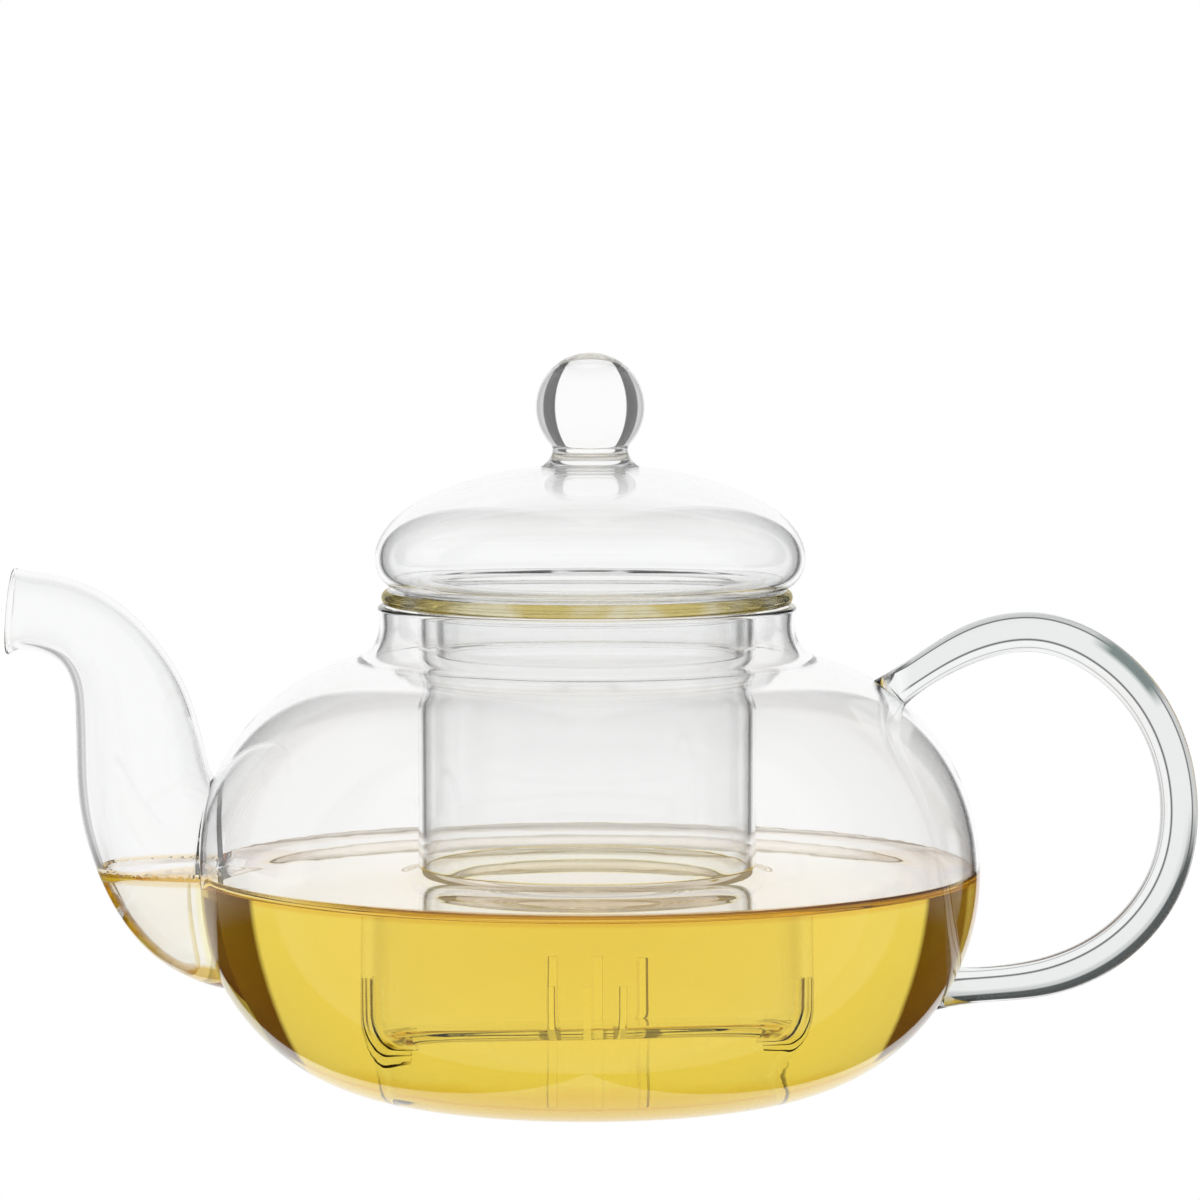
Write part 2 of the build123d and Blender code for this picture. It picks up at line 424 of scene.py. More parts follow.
def combine(target, tool, operation):
    """Cuts or intersects target with tool, which is used up. New faces keep the tool's material."""
    modifier = target.modifiers.new("combine", "BOOLEAN")
    modifier.operation = operation
    modifier.solver = "EXACT"
    modifier.material_mode = "TRANSFER"
    modifier.object = tool
    graph = bpy.context.evaluated_depsgraph_get()
    result = bpy.data.meshes.new_from_object(target.evaluated_get(graph))
    target.modifiers.clear()
    target.data = result
    bpy.data.objects.remove(tool)
    result.shade_smooth()


def soften(piece, degrees):
    """Smooth shading with edges kept sharp above an angle."""
    piece.data.shade_smooth()
    piece.data.set_sharp_from_angle(angle=math.radians(degrees))


def finish_piece(piece, body, slot, *nodes):
    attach(piece, body)
    if nodes:
        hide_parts(*nodes)


# Materials

def node(tree, kind, **inputs):
    """New node whose inputs take a value or another node's socket."""
    made = tree.nodes.new(kind)
    for name, value in inputs.items():
        socket = made.inputs[name.replace("_", " ")]
        if isinstance(value, bpy.types.NodeSocket):
            tree.links.new(value, socket)
        else:
            socket.default_value = value
    return made


def maths(tree, operation, a, b=0.0):
    made = tree.nodes.new("ShaderNodeMath")
    made.operation = operation
    for socket, value in zip(made.inputs, (a, b)):
        if isinstance(value, bpy.types.NodeSocket):
            tree.links.new(value, socket)
        else:
            socket.default_value = value
    return made.outputs[0]


def arrows(tree, operation, a, b=None):
    """Vector maths; a number as b scales."""
    made = tree.nodes.new("ShaderNodeVectorMath")
    made.operation = operation
    places = [made.inputs[0], made.inputs["Scale"] if operation == "SCALE" else made.inputs[1]]
    for socket, value in zip(places, (a, b)):
        if isinstance(value, bpy.types.NodeSocket):
            tree.links.new(value, socket)
        elif value is not None:
            socket.default_value = value
    return made.outputs["Value" if operation in ("DOT_PRODUCT", "LENGTH") else "Vector"]


def empty_material(name):
    material = bpy.data.materials.new(name)
    material.use_nodes = True
    material.node_tree.nodes.clear()
    return material, material.node_tree


def blown_bump(tree, strength, stretch):
    """Faint draw lines and slow waves that blowing leaves on glass."""
    squeeze = tree.nodes.new("ShaderNodeMapping")
    squeeze.inputs["Scale"].default_value = stretch
    tree.links.new(own_place(tree), squeeze.inputs["Vector"])
    waves = node(tree, "ShaderNodeTexNoise", Vector=squeeze.outputs[0], Scale=1.0, Detail=3.0, Roughness=0.45)
    bump = node(tree, "ShaderNodeBump", Strength=strength, Distance=0.1 * MM, Height=waves.outputs[0])
    return bump.outputs[0]


def share_over(tree, value, start, end, **results):
    """Share that goes from zero to one while a value goes from start to end."""
    return node(tree, "ShaderNodeMapRange", Value=value, From_Min=start, From_Max=end, **results).outputs[0]


def between(tree, value, low, high, edge):
    """One between two values and zero outside them, with soft edges."""
    rise = share_over(tree, value, low - edge, low + edge)
    fall = share_over(tree, value, high + edge, high - edge)
    return maths(tree, "MULTIPLY", rise, fall)


def parts(tree, vector):
    return node(tree, "ShaderNodeSeparateXYZ", Vector=vector).outputs


def own_place(tree):
    """Place in the object's own space."""
    return node(tree, "ShaderNodeTexCoord").outputs["Object"]


def geometry(tree, output):
    return node(tree, "ShaderNodeNewGeometry").outputs[output]


def entering(tree):
    """One where light meets a face from outside, zero from inside."""
    return maths(tree, "SUBTRACT", 1.0, geometry(tree, "Backfacing"))


def in_space(tree, direction, start, end):
    """A direction carried over from one space to another."""
    made = tree.nodes.new("ShaderNodeVectorTransform")
    made.vector_type = "VECTOR"
    made.convert_from = start
    made.convert_to = end
    if isinstance(direction, bpy.types.NodeSocket):
        tree.links.new(direction, made.inputs[0])
    else:
        made.inputs[0].default_value = direction
    return made.outputs[0]


def tinted(tree, share, first, second):
    """Colour that goes from first to second as share goes from 0 to 1."""
    mix = tree.nodes.new("ShaderNodeMix")
    mix.data_type = "RGBA"
    tree.links.new(share, mix.inputs[0])
    for socket, colour in ((mix.inputs[6], first), (mix.inputs[7], second)):
        if isinstance(colour, bpy.types.NodeSocket):
            tree.links.new(colour, socket)
        else:
            socket.default_value = (*colour, 1.0)
    return mix.outputs[2]


def glass(
    name, tint, wettable, bump=0.25, stretch=(18.0, 18.0, 160.0), film=TEA_LINE_LIGHT, band=None, roughness=0.0,
    root=False, stain=None
):
    """Clear glass. Wettable glass refracts as glass against tea below the tea's contact line.

    The strip that the drawn-up tea wets carries painted amber light of the tea, band is the stretch of the
    piece that carries amber light, and the underside below the tea carries painted amber light of the tea seen
    through it.
    With root, light leaves the glass below the spout instead of being led round.
    """
    material, tree = empty_material(name)
    ior = IOR_GLASS
    colour = (*tint, 1.0)
    if band:
        colour = tinted(tree, band_share(tree, *band), tint, band_colour(tree))
    if wettable:
        height = parts(tree, geometry(tree, "Position"))["Z"]
        wet = maths(tree, "LESS_THAN", height, TEA_Z + CLIMB)
        ior = maths(tree, "SUBTRACT", IOR_GLASS, maths(tree, "MULTIPLY", wet, IOR_GLASS - IOR_GLASS / IOR_TEA))
        # Painted amber light of the tea on the strip that the drawn-up tea wets
        colour = tinted(tree, between(tree, height, TEA_LINE_LIGHT_LOW, TEA_Z + CLIMB, TEA_LINE_LIGHT_EDGE), tint, film)
        # Painted amber light of the tea, as seen through the glass, on undersides below the tea's level
        if stain:
            shade, waves, slope = stain
            colour = tinted(tree, underside(tree, waves, slope), colour, shade)
    surface = node(
        tree, "ShaderNodeBsdfGlass", Color=colour, Roughness=roughness, IOR=ior,
        Normal=blown_bump(tree, bump, stretch)
    )
    surface.distribution = "BECKMANN"
    whole = surface.outputs[0]
    if root:
        clear = node(tree, "ShaderNodeBsdfTransparent").outputs[0]
        whole = mixed(tree, leaving_at_root(tree), whole, clear)
    node(tree, "ShaderNodeOutputMaterial", Surface=whole)
    return material


def band_share(tree, low, high, inside):
    """Where light enters between two heights of a piece, beyond a way out from the axis."""
    own = own_place(tree)
    flat = arrows(tree, "MULTIPLY", own, (1.0, 1.0, 0.0))
    outside = maths(tree, "GREATER_THAN", arrows(tree, "LENGTH", flat), inside)
    share = maths(tree, "MULTIPLY", between(tree, parts(tree, own)["Z"], low, high, BAND_EDGE), outside)
    return maths(tree, "MULTIPLY", share, entering(tree))


def band_colour(tree):
    """Amber with lighter streaks."""
    streaks = node(tree, "ShaderNodeTexNoise", Vector=own_place(tree), Scale=BAND_GRAIN, Detail=2.0)
    return tinted(tree, share_over(tree, streaks.outputs[0], *BAND_STREAKS), BAND_DARK, BAND_LIGHT)


def leaving_at_root(tree):
    """Where light meets the pot's wall from inside the glass, under the tea and on the spout's side."""
    place = parts(tree, own_place(tree))
    to_side = maths(tree, "MULTIPLY", maths(tree, "ABSOLUTE", place["Y"]), ROOT_SLOPE)
    share = maths(tree, "LESS_THAN", maths(tree, "ADD", place["X"], to_side), 0.0)
    share = maths(tree, "MULTIPLY", share, maths(tree, "LESS_THAN", place["Z"], JUST_BELOW_TEA))
    return maths(tree, "MULTIPLY", share, geometry(tree, "Backfacing"))


# Mask of the painted amber tea light on the undersides
def underside(tree, waves, least):
    """Where a wall faces down by at least a share, with an edge as wavy as asked."""
    place = own_place(tree)
    steep = maths(tree, "ABSOLUTE", parts(tree, geometry(tree, "True Normal"))["Z"])
    noise = node(tree, "ShaderNodeTexNoise", Vector=place, Scale=TEA_LIGHT_GRAIN, Detail=1.0)
    wave = maths(tree, "MULTIPLY", maths(tree, "SUBTRACT", noise.outputs[0], 0.5), waves)
    share = share_over(tree, maths(tree, "ADD", steep, wave), least, least + TEA_LIGHT_EDGE)
    return maths(tree, "MULTIPLY", share, maths(tree, "LESS_THAN", parts(tree, place)["Z"], JUST_BELOW_TEA))


def fused_glass():
    """Where two pieces have melted into one: light goes straight on."""
    material, tree = empty_material("fused")
    node(tree, "ShaderNodeOutputMaterial", Surface=node(tree, "ShaderNodeBsdfTransparent").outputs[0])
    return material


def tea_liquid(name, absorption):
    """Pale tea: its free surface refracts, its walls are the glass, and its depth gives the colour."""
    material, tree = empty_material(name)
    free = node(tree, "ShaderNodeAttribute")
    free.attribute_name = "free_surface"
    clear = node(tree, "ShaderNodeBsdfTransparent")
    surface = node(tree, "ShaderNodeBsdfGlass", Roughness=0.0, IOR=IOR_TEA)
    surface.inputs["Color"].default_value = (1, 1, 1, 1)
    sheen = node(tree, "ShaderNodeBsdfGlossy", Color=(*SHEEN_COLOUR, 1.0), Roughness=0.0)
    skin = mixed(tree, maths(tree, "MULTIPLY", entering(tree), SHEEN), surface.outputs[0], sheen.outputs[0])
    whole = mixed(tree, free.outputs["Fac"], clear.outputs[0], skin)
    strength = max(absorption) * 1.05
    colour = [1 - share / strength for share in absorption]
    depth = node(tree, "ShaderNodeVolumeAbsorption", Color=(*colour, 1.0), Density=strength)
    node(tree, "ShaderNodeOutputMaterial", Surface=whole, Volume=depth.outputs[0])
    return material


FUSED_GLASS = fused_glass()


def glass_set(name, tint, **kwargs):
    """Bare, wettable and fused materials of one piece, in slot order."""
    return [glass(name, tint, False, **kwargs), glass(f"{name}_wet", tint, True, **kwargs), FUSED_GLASS]


def sawn_glass():
    """Matt walls of the sawn slits."""
    return glass("sawn_glass", SAWN_TINT, True, roughness=SAWN_ROUGHNESS)


# Glass pieces

def make_pot_body(materials):
    rim = oval((RIM_R - POT_WALL / 2, RIM_Z), POT_WALL / 2, POT_WALL / 2, 0, 180, 17)
    outline, slots = joined(
        (straight((0, 0), (FOOT_R, 0), 30), BARE),
        (POT_OUTER, BARE),
        (rim, BARE),
        (POT_INNER[::-1], WETTABLE),
        (straight((FOOT_R, POT_WALL), (0, POT_WALL), 30), WETTABLE),
    )
    return lathe("pot_body_glass", outline, slots, materials)


def tube_points(curve, side, shares, angles, widen):
    """Points on a round tube. shares and angles broadcast; widen is added to the half width."""
    place, heading = curve.at(shares)
    length = np.hypot(heading[..., 0], heading[..., 1])
    out, up = heading[..., 0] / length, heading[..., 1] / length
    radius = place[..., 2] + widen
    across = radius * np.sin(angles)
    lift = radius * np.cos(angles)
    x = side * (place[..., 0] - lift * up)
    return np.stack([x, across, place[..., 1] + lift * out], axis=-1)


def crossing(curve, side, angles, widen, wall, from_end=False):
    """Shares at which a tube's lines leave a wall of the pot, seen from the tube's far end."""
    shares = np.linspace(0.5, 1.0, 1500) if from_end else np.linspace(0.5, 0.0, 1500)
    points = tube_points(curve, side, shares[:, None], angles[None, :], widen)
    outside = beyond(points, wall)
    first = np.argmax(outside < 0, axis=0)
    near, far = outside[first, range(len(angles))], outside[first - 1, range(len(angles))]
    return shares[first] + (shares[first - 1] - shares[first]) * near / (near - far)


def root_rings(curve, side, angles, widen, from_end=False):
    """Rings of a tube's surface on the pot's inner wall and on its outer wall."""
    inner = crossing(curve, side, angles, widen, POT_INNER, from_end)
    outer = crossing(curve, side, angles, widen, POT_OUTER, from_end)
    return inner, outer


def make_spout(materials, pot_body):
    """Horn that grows out of the pot's wall, with a rolled lip; the pot's wall is opened for it."""
    curve = Curve(SPOUT_LINE)
    count = 144
    angles = np.arange(count) * 2 * math.pi / count
    in_wall, at_face = root_rings(curve, -1, angles, 0.0)
    bore_root = crossing(curve, -1, angles, -SPOUT_WALL, POT_INNER)
    rows = 150
    ease = np.linspace(0, 1, rows)[:, None]
    outer_shares = at_face + (1 - at_face) * ease
    bore_shares = bore_root + (1 - bore_root) * ease
    outer = tube_points(curve, -1, outer_shares, angles, lip_flare(outer_shares, angles))
    bore = tube_points(curve, -1, bore_shares, angles, lip_flare(bore_shares, angles) - SPOUT_WALL)
    wall_ring = tube_points(curve, -1, in_wall, angles, 0.0)
    lip = lip_rings(outer[-1], bore[-1], outer[-2])
    rings = [wall_ring, *outer, *lip, *bore[::-1]]
    slots = [FUSED] + [BARE] * (rows - 1 + len(lip) + 1) + [WETTABLE] * (rows - 1) + [WETTABLE]
    spout = loop_tube("spout_glass", rings, slots, materials)
    open_wall(pot_body, wall_ring, outer[0])
    return spout


def lip_flare(shares, angles):
    """The mouth opens over its last stretch, more below than above."""
    near = np.clip((shares - 1 + FLARE_SHARE) / FLARE_SHARE, 0, 1)
    return near**2 * (LIP_FLARE - LIP_DROOP * np.cos(angles))


def lip_rings(outer_end, bore_end, before):
    """Half round lip between the outer and the inner end ring."""
    middle = (outer_end + bore_end) / 2
    spoke = (outer_end - bore_end) / 2
    ahead = (outer_end - before).mean(axis=0)
    ahead = ahead / np.linalg.norm(ahead) * np.linalg.norm(spoke, axis=1).mean()
    turns = np.radians(np.linspace(0, 180, 13))[1:-1]
    return [middle + spoke * math.cos(turn) + ahead * math.sin(turn) for turn in turns]


def loop_tube(name, rings, slots, materials):
    """Closed mesh from rings whose last one joins the first again."""
    around = len(rings[0])
    vertices = np.concatenate(rings)
    index = [list(range(i * around, (i + 1) * around)) for i in range(len(rings))]
    faces, marks = skin(index + [index[0]], slots, around)
    return new_object(name, vertices, faces, marks, materials)


def open_wall(pot_body, inner_ring, outer_ring):
    """Takes out of the pot's wall the plug between two rings."""
    reach = (outer_ring - inner_ring) * 1.5
    rings = [inner_ring - reach, inner_ring, outer_ring, outer_ring + reach]
    plug = closed_tube("plug", rings, [0] * (len(rings) + 1), [FUSED_GLASS])
    combine(pot_body, plug, "DIFFERENCE")


def make_handle(materials, pot_body):
    """Solid rod whose two ends are melted into the outer half of the pot's wall."""
    curve = Curve(HANDLE_LINE)
    count = 64
    angles = np.arange(count) * 2 * math.pi / count
    middle = (POT_OUTER + POT_INNER) / 2
    top_deep = crossing(curve, 1, angles, 0.0, middle)
    top_face = crossing(curve, 1, angles, 0.0, POT_OUTER)
    low_deep = crossing(curve, 1, angles, 0.0, middle, True)
    low_face = crossing(curve, 1, angles, 0.0, POT_OUTER, True)
    rows = 260
    ease = np.linspace(0, 1, rows)[:, None]
    rod = tube_points(curve, 1, top_face + (low_face - top_face) * ease, angles, 0.0)
    top_ring = tube_points(curve, 1, top_deep, angles, 0.0)
    low_ring = tube_points(curve, 1, low_deep, angles, 0.0)
    rings = [top_ring, *rod, low_ring]
    slots = [FUSED, FUSED] + [BARE] * (rows - 1) + [FUSED, FUSED]
    handle = closed_tube("handle_glass", rings, slots, materials)
    for deep, face in ((top_ring, rod[0]), (low_ring, rod[-1])):
        pocket = closed_tube("pocket", [deep, face, face + (face - deep) * 2], [0] * 4, [FUSED_GLASS])
        combine(pot_body, pocket, "DIFFERENCE")
    return handle


def basket_side(inset):
    radius = BASKET_R - inset
    corner = oval(
        (BASKET_R - BASKET_CORNER, BASKET_FLOOR + BASKET_CORNER),
        BASKET_CORNER - inset, BASKET_CORNER - inset, -90, 0, 20
    )
    low = PINCH_Z - PINCH_HALF_HEIGHT
    high = PINCH_Z + PINCH_HALF_HEIGHT
    pinch = Curve([(radius, low), (radius - PINCH_DEPTH, PINCH_Z), (radius, high)], (0, 1), (0, 1))
    wall = straight(corner[-1], (radius, low), 60)
    return np.concatenate([corner, wall[1:], pinch.at(np.linspace(0, 1, 30))[0][1:]])


def make_infuser(materials):
    outer = basket_side(0.0)
    inner = basket_side(BASKET_WALL)
    flange_z = FLANGE_TOP - FLANGE_HEIGHT
    bore = BASKET_R - BASKET_WALL
    root = oval((BASKET_R + FLANGE_ROOT, flange_z - FLANGE_ROOT), FLANGE_ROOT, FLANGE_ROOT, 180, 90, 12)
    edge = oval(
        (FLANGE_R - FLANGE_EDGE, flange_z + FLANGE_HEIGHT / 2), FLANGE_EDGE, FLANGE_HEIGHT / 2, -90, 90, 24
    )
    mouth = oval((bore + FLANGE_EDGE, FLANGE_TOP - FLANGE_EDGE), FLANGE_EDGE, FLANGE_EDGE, 90, 180, 12)
    outline, slots = joined(
        (straight((0, BASKET_FLOOR), outer[0], 20), WETTABLE),
        (outer, WETTABLE),
        (straight(outer[-1], root[0], 12), BARE),
        (root, BARE),
        (edge, BARE),
        (mouth, BARE),
        (straight(mouth[-1], inner[-1], 12), BARE),
        (inner[::-1], WETTABLE),
        (straight(inner[0], (0, BASKET_FLOOR + BASKET_WALL), 20), WETTABLE),
    )

    def lean(index, angles, ring):
        """The blown floor isn't quite level."""
        share = np.clip((LEAN_TOP - ring[:, 2]) / (LEAN_TOP - BASKET_FLOOR), 0, 1)
        ring[:, 2] += share * (LEAN[0] * ring[:, 0] + LEAN[1] * ring[:, 1])
        return ring

    infuser = lathe("infuser_glass", outline, slots, materials, shift=lean)
    combine(infuser, slit_cutter(sawn_glass()), "DIFFERENCE")
    return infuser


def slit_cutter(material):
    """Twelve upright blades, three to each group."""
    shape = bmesh.new()
    depth = SLIT_DEPTH
    low = BASKET_FLOOR - 3.0 * MM
    for group in SLIT_GROUPS:
        for place in (-1, 0, 1):
            angle = math.radians(group + place * SLIT_PITCH)
            out = np.array([math.cos(angle), math.sin(angle), 0.0])
            across = np.array([-math.sin(angle), math.cos(angle), 0.0])
            corners = []
            for reach in (-depth / 2, depth / 2):
                for half in (-SLIT_WIDTH / 2, SLIT_WIDTH / 2):
                    for height in (low, SLIT_TOP):
                        point = out * (BASKET_R + reach) + across * half
                        corners.append(shape.verts.new((point[0], point[1], height)))
            bmesh.ops.convex_hull(shape, input=corners)
    mesh = bpy.data.meshes.new("slits")
    shape.to_mesh(mesh)
    shape.free()
    mesh.materials.append(material)
    cutter = bpy.data.objects.new("slits", mesh)
    bpy.context.scene.collection.objects.link(cutter)
    return cutter


def aside(index, angles, ring):
    """The lid sits a little towards the handle in its loose seat."""
    ring[:, 0] += LID_ASIDE
    return ring


def lid_curves(inset):
    """Dome from the axis to its edge, the rolled edge, and the root of the plug."""
    dome = oval((0, LID_WIDE_Z), LID_R - inset, DOME_TOP - LID_WIDE_Z - inset, 90, 0, 110)
    edge = oval(
        (LID_R - CURL_WIDTH, LID_WIDE_Z), CURL_WIDTH - inset, LID_WIDE_Z - LID_SEAT - inset, 0, -90, 40
    )
    round_r = PLUG_ROUND + inset
    root = oval((PLUG_R + PLUG_ROUND, LID_SEAT - PLUG_ROUND), round_r, round_r, 90, 180, 14)
    return dome, edge, root


def make_lid_dome(materials):
    dome, edge, root = lid_curves(0.0)
    inner_dome, inner_edge, inner_root = lid_curves(LID_WALL)
    foot = oval(
        (PLUG_R - LID_WALL / 2, PLUG_BOTTOM + LID_WALL / 2), LID_WALL / 2, LID_WALL / 2, 0, -180, 15
    )
    covered = dome[:, 0] <= STUB_R + STUB_FLARE
    first_bare = int(np.argmin(covered))
    outline, slots = joined(
        (dome[:first_bare], FUSED),
        (dome[first_bare - 1:], BARE),
        (edge, BARE),
        (root, BARE),
        (straight(root[-1], foot[0], 20), BARE),
        (foot, BARE),
        (straight(foot[-1], inner_root[-1], 20), BARE),
        (inner_root[::-1], BARE),
        (inner_edge[::-1], BARE),
        (inner_dome[::-1], BARE),
    )
    return lathe("lid_dome_glass", outline, slots, materials, shift=aside), dome[:first_bare]


def make_lid_knob(materials, seat):
    """Ball on a short stub; its underside is the part of the dome that it covers."""
    neck_z = BALL_Z - math.sqrt(BALL_R**2 - STUB_R**2)
    ball_end = math.degrees(math.asin((neck_z - BALL_Z) / BALL_R))
    ball = oval((0, BALL_Z), BALL_R, BALL_R, 90, ball_end, 120)
    foot = seat[-1]
    waist = (STUB_R, (neck_z + foot[1]) / 2 + 0.3 * MM)
    stub = Curve([ball[-1], waist, foot], (-0.6, -1.0), (1.0, -0.5)).at(np.linspace(0, 1, 30))[0]
    outline, slots = joined((ball, BARE), (stub, BARE), (seat[::-1], FUSED))
    return lathe("lid_knob_glass", outline, slots, materials, around=192, shift=aside)


# Tea

def meniscus():
    """Height of the tea's surface above its level against the way from a wall, from capillary theory."""
    heights = np.linspace(CLIMB, 0.02 * MM, 60)
    ratio = heights / CAPILLARY
    ways = CAPILLARY * (np.arccosh(2 / ratio) - np.sqrt(4 - ratio**2))
    return ways - ways[0], heights


def climb_at(way):
    ways, heights = meniscus()
    return np.interp(way, ways, heights, right=0.0)


def make_pot_tea(material):
    """Tea in the pot, up to one level with its skin drawn up at the glass."""
    wall = pot_side(POT_WALL - SKIN)
    wall_r = float(np.interp(TEA_Z, wall[:90, 1], wall[:90, 0]))
    below = wall[:90][wall[:90, 1] < JUST_BELOW_TEA]
    ways, heights = meniscus()
    reach = ways[-1]
    at_wall = np.stack([wall_r - ways, TEA_Z + heights], axis=1)
    out_r = BASKET_R - SKIN
    in_r = BASKET_R - BASKET_WALL + SKIN
    outside = np.stack([out_r + ways[::-1], TEA_Z + heights[::-1]], axis=1)
    inside = np.stack([in_r - ways, TEA_Z + heights], axis=1)
    flat = straight(at_wall[-1], outside[0], 24)
    outline, free = joined(
        (straight((0, POT_WALL - SKIN), below[0], 30), 0),
        (below, 0),
        (straight(below[-1], at_wall[0], 6), 0),
        (at_wall, 1),
        (flat, 1),
        (outside, 1),
        (straight(outside[-1], inside[0], 3), 0),
        (inside, 1),
        (straight(inside[-1], (0, inside[-1][1]), 24), 1),
    )
    opening = spout_opening_half_angle()

    def fade(index, angles, ring):
        """No climb where the pot opens into the spout."""
        if outline[index][0] > wall_r - reach and ring[0, 2] > TEA_Z:
            off = np.abs(np.abs(np.degrees(angles) - 180)) - opening
            share = np.clip(off / FADE_DEGREES, 0, 1)
            share = share * share * (3 - 2 * share)
            ring[:, 2] = TEA_Z + (ring[:, 2] - TEA_Z) * share
        return ring

    tea = lathe("tea_in_pot", outline, [0] * len(free), [material], shift=fade)
    marks = np.repeat(np.array(free, float), AROUND)
    mark_free_surface(tea, marks)
    return tea


def spout_opening_half_angle():
    """Half the angle that the spout's bore takes of the pot at the tea's level, in degrees."""
    curve = Curve(SPOUT_LINE)
    angles = np.linspace(0, math.pi, 200)
    shares = crossing(curve, -1, angles, -SPOUT_WALL, POT_INNER)
    ring = tube_points(curve, -1, shares, angles, -SPOUT_WALL)
    near = np.argmin(np.abs(ring[:, 2] - TEA_Z))
    return math.degrees(math.atan2(abs(ring[near, 1]), abs(ring[near, 0])))


def mark_free_surface(piece, marks):
    attribute = piece.data.attributes.new("free_surface", "FLOAT", "FACE")
    attribute.data.foreach_set("value", np.asarray(marks, np.float32))


def make_spout_tea(material):
    """Tea that stands in the spout at the pot's level, its skin drawn up round the bore."""
    curve = Curve(SPOUT_LINE)
    count = 144
    angles = np.arange(count) * 2 * math.pi / count
    ease = np.linspace(0.0, SPOUT_TEA_END, 70)[:, None] * np.ones(count)
    rings = tube_points(curve, -1, ease, angles, SKIN - SPOUT_WALL)
    bore = closed_tube("tea_in_spout", list(rings), [0] * (len(rings) + 1), [material])

    level = level_ring(curve)
    size = SPOUT_TEA_GRID
    xs = np.linspace(level[:, 0].min() - 4 * MM, SPOUT_TEA_ROOT, size)
    ys = np.linspace(-SPOUT_TEA_HALF_WIDTH, SPOUT_TEA_HALF_WIDTH, size)
    grid = np.array([(x, y) for x in xs for y in ys])
    way = way_to_ring(grid, level)
    tops = TEA_Z + climb_at(way)
    lid_slot = bpy.data.materials.new("free")
    vertices = [(x, y, z) for (x, y), z in zip(grid, tops)]
    vertices += [(x, y, SPOUT_TEA_FLOOR) for x, y in grid]
    faces, slots = [], []
    for i in range(size - 1):
        for j in range(size - 1):
            a, b, c, d = i * size + j, (i + 1) * size + j, (i + 1) * size + j + 1, i * size + j + 1
            faces.append((a, b, c, d))
            slots.append(1)
            faces.append(tuple(v + size * size for v in (d, c, b, a)))
            slots.append(0)
    border = [i * size for i in range(size)] + [(size - 1) * size + j for j in range(1, size)]
    border += [i * size + size - 1 for i in range(size - 2, -1, -1)] + list(range(size - 2, 0, -1))
    for a, b in zip(border, border[1:] + border[:1]):
        faces.append((b, a, a + size * size, b + size * size))
        slots.append(0)
    block = new_object("block", vertices, faces, slots, [material, lid_slot])
    combine(bore, block, "INTERSECT")

    inside = pot_side(POT_WALL - 3 * SKIN)
    outline, _ = joined(
        (straight((0, 1 * MM), inside[0], 10), 0),
        (inside[:150], 0),
        (straight(inside[149], (0, inside[149][1]), 10), 0),
    )
    pot_space = lathe("pot_space", outline, [0] * (len(outline) - 1), [material])
    combine(bore, pot_space, "DIFFERENCE")
    names = [m.name if m else "" for m in bore.data.materials]
    free_index = names.index(lid_slot.name)
    marks = [float(p.material_index == free_index) for p in bore.data.polygons]
    mark_free_surface(bore, marks)
    bore.data.polygons.foreach_set("material_index", [0] * len(bore.data.polygons))
    bore.data.materials.clear()
    bore.data.materials.append(material)
    return bore


def level_ring(curve):
    """Outline of the bore at the tea's level."""
    angles = np.radians(np.arange(0, 360, 3))
    shares = np.linspace(0.05, 0.6, 900)
    points = tube_points(curve, -1, shares[:, None], angles[None, :], -SPOUT_WALL)
    below = points[..., 2] < TEA_Z
    ring = []
    for column in range(len(angles)):
        change = np.nonzero(below[:-1, column] & ~below[1:, column])[0]
        if len(change):
            ring.append(points[change[-1], column, :2])
    return np.array(ring)


def way_to_ring(grid, ring):
    """Way from each grid point to the nearest point of a ring."""
    gaps = np.linalg.norm(grid[:, None, :] - ring[None, :, :], axis=2)
    return gaps.min(axis=1)


# Stage

def seen_by_camera(tree):
    return node(tree, "ShaderNodeLightPath").outputs["Is Camera Ray"]


def mixed(tree, share, first, second):
    """Shader that goes from first to second as share goes from 0 to 1."""
    mix = tree.nodes.new("ShaderNodeMixShader")
    for socket, source in zip(mix.inputs, (share, first, second)):
        tree.links.new(source, socket)
    return mix.outputs[0]


def make_floor():
    """Plain white table. It lights nothing: the glass sees the studio shell below it."""
    place = (0, 0, -0.05 * MM)
    bpy.ops.mesh.primitive_circle_add(vertices=128, radius=0.45, fill_type="NGON", location=place)
    floor = bpy.context.object
    floor.name = "floor"
    material, tree = empty_material("floor")
    glow = node(tree, "ShaderNodeEmission", Color=(1, 1, 1, 1), Strength=1.0)
    clear = node(tree, "ShaderNodeBsdfTransparent")
    surface = mixed(tree, seen_by_camera(tree), clear.outputs[0], glow.outputs[0])
    node(tree, "ShaderNodeOutputMaterial", Surface=surface)
    floor.data.materials.append(material)


